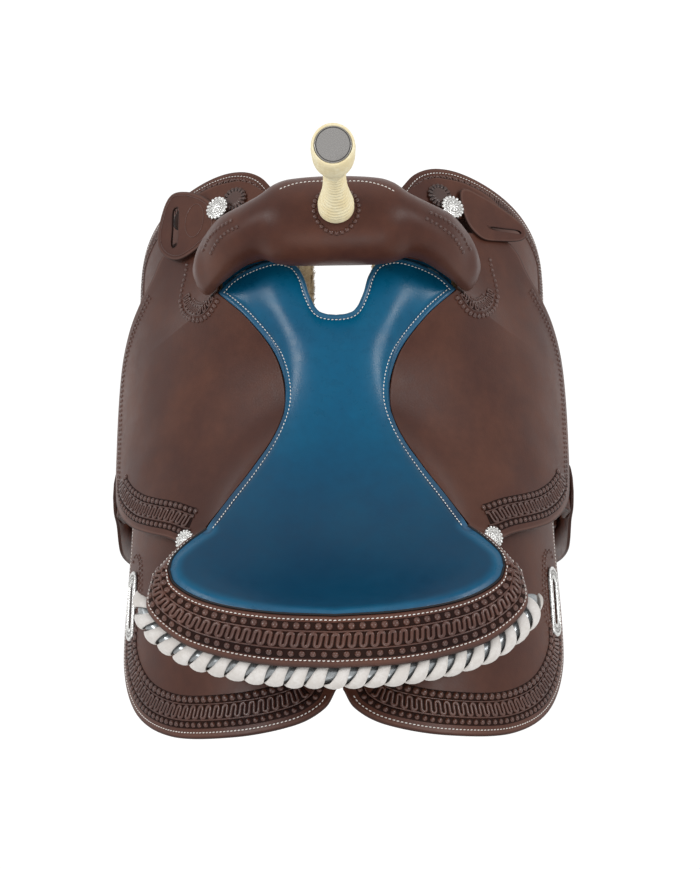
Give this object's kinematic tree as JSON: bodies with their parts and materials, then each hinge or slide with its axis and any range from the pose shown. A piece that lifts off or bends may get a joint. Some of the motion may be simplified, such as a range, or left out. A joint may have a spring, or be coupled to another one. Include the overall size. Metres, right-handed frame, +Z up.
{
  "type": "barrel racing saddle",
  "caption": "Western barrel racing saddle with a deep seat between a rounded fork and a laced cantle roll, a wrapped horn, tooled skirts, fenders and stirrups that swing.",
  "frame": {"origin": "on the ridge of the horse's back under the middle of the seat", "axes": "+X to the rider's right, +Y towards the horse's head, +Z up"},
  "size_m": [0.6094, 0.6689, 0.995],
  "materials": {
    "brown_leather": "oiled skirting leather, tooled borders",
    "dark_leather": "dark oiled leather",
    "blue_leather": "smooth dyed seat leather with a soft sheen",
    "rawhide": "wound rawhide, cream",
    "white_lace": "white rawhide lace",
    "fleece": "tan wool fleece",
    "tree_wood": "wooden saddle tree",
    "seat_foam": "thin seat padding",
    "engraved_silver": "bright engraved plate",
    "stainless_steel": "plain satin steel",
    "tread_rubber": "black rubber tread"
  },
  "bodies": {
    "saddle": {"tree_bar_left": "tree_wood", "tree_bar_right": "tree_wood", "tree_fork": "tree_wood", "tree_cantle": "tree_wood", "ground_seat": "dark_leather", "seat_foam": "seat_foam", "seat_leather": "blue_leather", "fork_cover": "brown_leather", "fork_leg_cover_left": "brown_leather", "fork_leg_cover_right": "brown_leather", "horn_core": "stainless_steel", "horn_wrap": "rawhide", "horn_cap_disc": "stainless_steel", "cantle_back": "brown_leather", "cheyenne_roll": "brown_leather", "lacing_core": "dark_leather", "cantle_lacing": "white_lace", "fleece_left": "fleece", "fleece_right": "fleece", "skirt_left": "brown_leather", "skirt_right": "brown_leather", "seat_jockey_left": "brown_leather", "seat_jockey_right": "brown_leather", "front_jockey_left": "brown_leather", "front_jockey_right": "brown_leather", "rear_jockey_left": "brown_leather", "rear_jockey_right": "brown_leather", "front_rosette_left": "dark_leather", "front_rosette_right": "dark_leather", "front_concho_left": "engraved_silver", "front_concho_right": "engraved_silver", "rear_concho_left": "engraved_silver", "rear_concho_right": "engraved_silver", "flank_plate_left": "engraved_silver", "flank_plate_right": "engraved_silver", "rigging_plate_left": "stainless_steel", "rigging_plate_right": "stainless_steel", "upper_stirrup_leather_left": "brown_leather", "upper_stirrup_leather_right": "brown_leather", "latigo_keeper": "brown_leather", "off_side_strap": "brown_leather"},
    "leather_left": {"leather_hanger_left": "brown_leather"},
    "fender_assembly_left": {"fender_left": "brown_leather", "leather_buckle_left": "stainless_steel"},
    "strap_assembly_left": {"stirrup_strap_left": "brown_leather", "hobble_strap_left": "dark_leather", "hobble_buckle_left": "stainless_steel"},
    "stirrup_left": {"stirrup_frame_left": "stainless_steel", "stirrup_bolt_left": "stainless_steel", "stirrup_tread_left": "tread_rubber"},
    "leather_right": {"leather_hanger_right": "brown_leather"},
    "fender_assembly_right": {"fender_right": "brown_leather", "leather_buckle_right": "stainless_steel"},
    "strap_assembly_right": {"stirrup_strap_right": "brown_leather", "hobble_strap_right": "dark_leather", "hobble_buckle_right": "stainless_steel"},
    "stirrup_right": {"stirrup_frame_right": "stainless_steel", "stirrup_bolt_right": "stainless_steel", "stirrup_tread_right": "tread_rubber"}
  },
  "joints": [
    {"name": "leather_lift_left", "type": "hinge", "parent": "saddle", "child": "leather_left", "pos_m": [-0.271, 0.01, -0.1495], "axis": [0, 1, 0], "range_deg": [0, 60]},
    {"name": "fender_swing_left", "type": "hinge", "parent": "leather_left", "child": "fender_assembly_left", "pos_m": [-0.286, 0.01, -0.2], "axis": [1, 0, 0], "range_deg": [-30, 30]},
    {"name": "stirrup_height_left", "type": "slide", "parent": "fender_assembly_left", "child": "strap_assembly_left", "axis": [0, 0, 1], "range_m": [-0.05, 0.05]},
    {"name": "stirrup_tilt_left", "type": "hinge", "parent": "strap_assembly_left", "child": "stirrup_left", "pos_m": [-0.2727, 0.01, -0.56], "axis": [0, 1, 0], "range_deg": [-50, 50]},
    {"name": "leather_lift_right", "type": "hinge", "parent": "saddle", "child": "leather_right", "pos_m": [0.271, 0.01, -0.1495], "axis": [0, -1, 0], "range_deg": [0, 60]},
    {"name": "fender_swing_right", "type": "hinge", "parent": "leather_right", "child": "fender_assembly_right", "pos_m": [0.286, 0.01, -0.2], "axis": [1, 0, 0], "range_deg": [-30, 30]},
    {"name": "stirrup_height_right", "type": "slide", "parent": "fender_assembly_right", "child": "strap_assembly_right", "axis": [0, 0, 1], "range_m": [-0.05, 0.05]},
    {"name": "stirrup_tilt_right", "type": "hinge", "parent": "strap_assembly_right", "child": "stirrup_right", "pos_m": [0.2727, 0.01, -0.56], "axis": [0, 1, 0], "range_deg": [-50, 50]}
  ]
}
